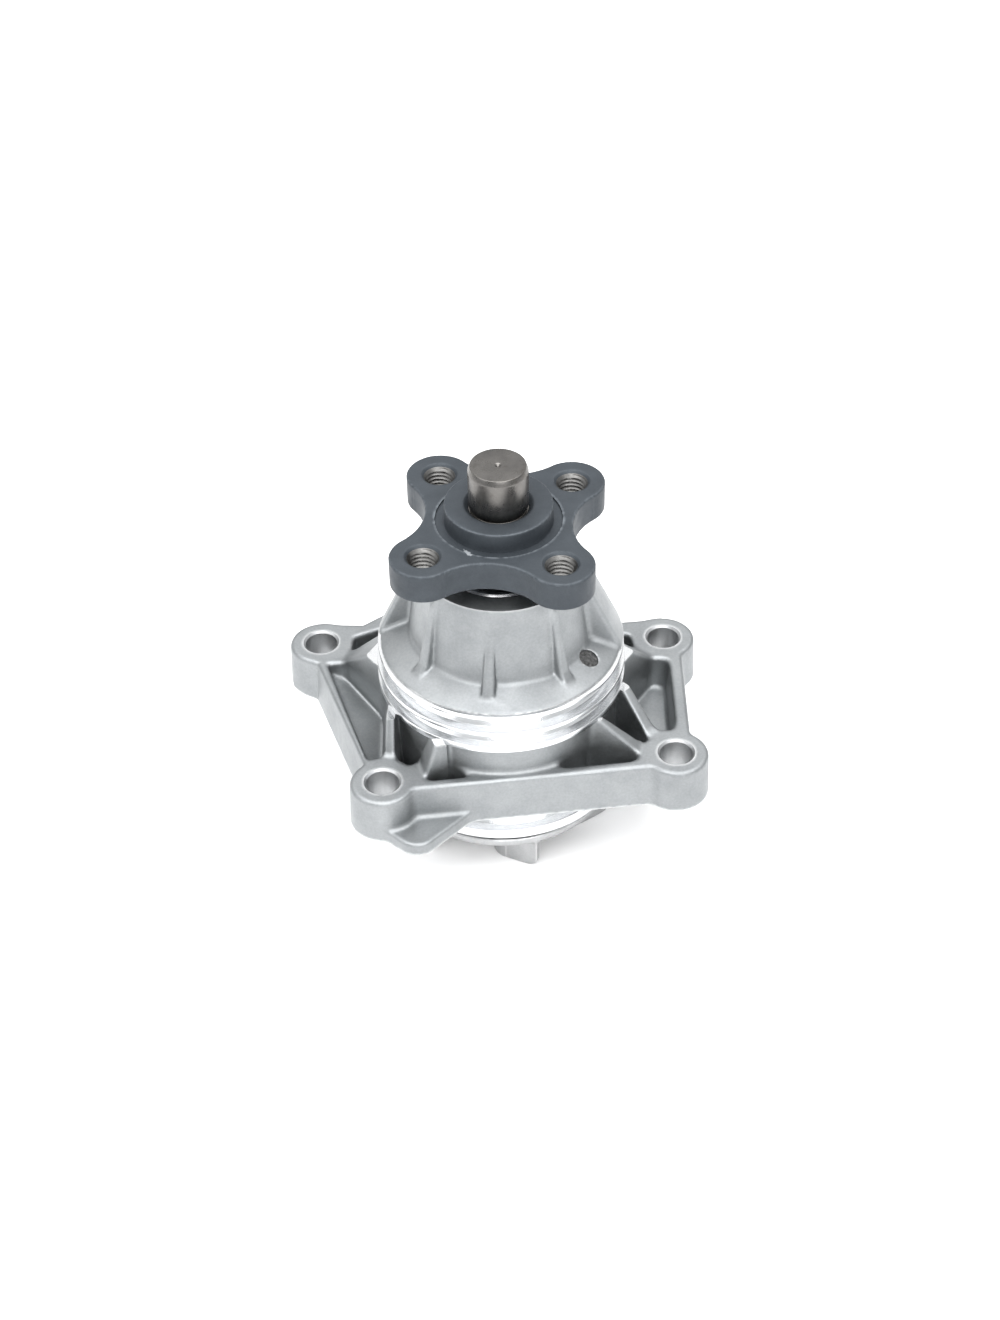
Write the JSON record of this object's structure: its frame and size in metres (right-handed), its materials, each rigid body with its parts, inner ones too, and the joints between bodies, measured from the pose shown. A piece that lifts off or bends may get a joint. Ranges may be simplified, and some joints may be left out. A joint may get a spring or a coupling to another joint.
{
  "type": "engine coolant pump",
  "caption": "Belt-driven coolant pump: die-cast housing with a bolt frame and two sealed spigots, bearing, face seal, impeller and a four-arm hub that turns.",
  "frame": {"origin": "shaft axis at the frame's mounting face, which is the lower face of the four bolt bosses", "axes": "+Z along the shaft towards the drive hub; +X along the row of the two back bolt bosses, from left to right seen from the front; +Y towards those back bosses"},
  "size_m": [0.1166, 0.0872, 0.1169],
  "materials": {
    "cast_aluminium": "as-cast with turned lands",
    "vent_foam": "open-cell foam",
    "bearing_steel": "ground",
    "shaft_steel": "ground, lightly stained",
    "cage_nylon": "moulded",
    "seal_rubber": "moulded",
    "pressed_steel": "pressed",
    "dark_oxide_steel": "dark phosphate",
    "seal_brass": "drawn",
    "spring_steel": "drawn wire",
    "seal_carbon": "lapped",
    "seal_ceramic": "lapped",
    "bush_steel": "turned",
    "impeller_steel": "pressed and dull"
  },
  "bodies": {
    "pump_body": {"housing": "cast_aluminium", "vent_filter": "vent_foam", "bearing_outer_ring": "bearing_steel", "hub_side_seal": "seal_rubber", "hub_side_seal_ring": "pressed_steel", "chamber_side_seal": "seal_rubber", "chamber_side_seal_ring": "pressed_steel", "seal_cup": "seal_brass", "seal_bellows": "seal_rubber", "seal_spring": "spring_steel"},
    "rotor": {"pump_shaft": "shaft_steel", "drive_hub": "dark_oxide_steel", "slinger": "pressed_steel", "mating_ring": "seal_ceramic", "mating_boot": "seal_rubber", "impeller_bush": "bush_steel", "impeller": "impeller_steel"},
    "ball_row": {"ball_cage": "cage_nylon", "ball_1": "bearing_steel", "ball_2": "bearing_steel", "ball_3": "bearing_steel", "ball_4": "bearing_steel", "ball_5": "bearing_steel", "ball_6": "bearing_steel", "ball_7": "bearing_steel", "ball_8": "bearing_steel", "ball_9": "bearing_steel"},
    "roller_row": {"roller_cage": "cage_nylon", "roller_1": "bearing_steel", "roller_2": "bearing_steel", "roller_3": "bearing_steel", "roller_4": "bearing_steel", "roller_5": "bearing_steel", "roller_6": "bearing_steel", "roller_7": "bearing_steel", "roller_8": "bearing_steel", "roller_9": "bearing_steel", "roller_10": "bearing_steel"},
    "seal_head": {"carbon_ring": "seal_carbon", "seal_holder": "pressed_steel"}
  },
  "joints": [
    {"name": "shaft_spin", "type": "hinge", "parent": "pump_body", "child": "rotor", "pos_m": [0, 0, 0.04], "axis": [0, 0, 1], "continuous": true},
    {"name": "ball_row_orbit", "type": "hinge", "parent": "pump_body", "child": "ball_row", "pos_m": [0, 0, 0.0313], "axis": [0, 0, 1], "continuous": true},
    {"name": "roller_row_orbit", "type": "hinge", "parent": "pump_body", "child": "roller_row", "pos_m": [0, 0, 0.0486], "axis": [0, 0, 1], "continuous": true},
    {"name": "seal_head_float", "type": "slide", "parent": "pump_body", "child": "seal_head", "axis": [0, 0, 1], "range_m": [0, 0.0008], "stiffness_N_per_m": 8000, "springref_m": -0.004, "deforming": ["seal_spring", "seal_bellows"]}
  ],
  "couplings": [
    {"joint": "ball_row_orbit", "follows": "shaft_spin", "ratio": 0.3602},
    {"joint": "roller_row_orbit", "follows": "shaft_spin", "ratio": 0.3805}
  ]
}
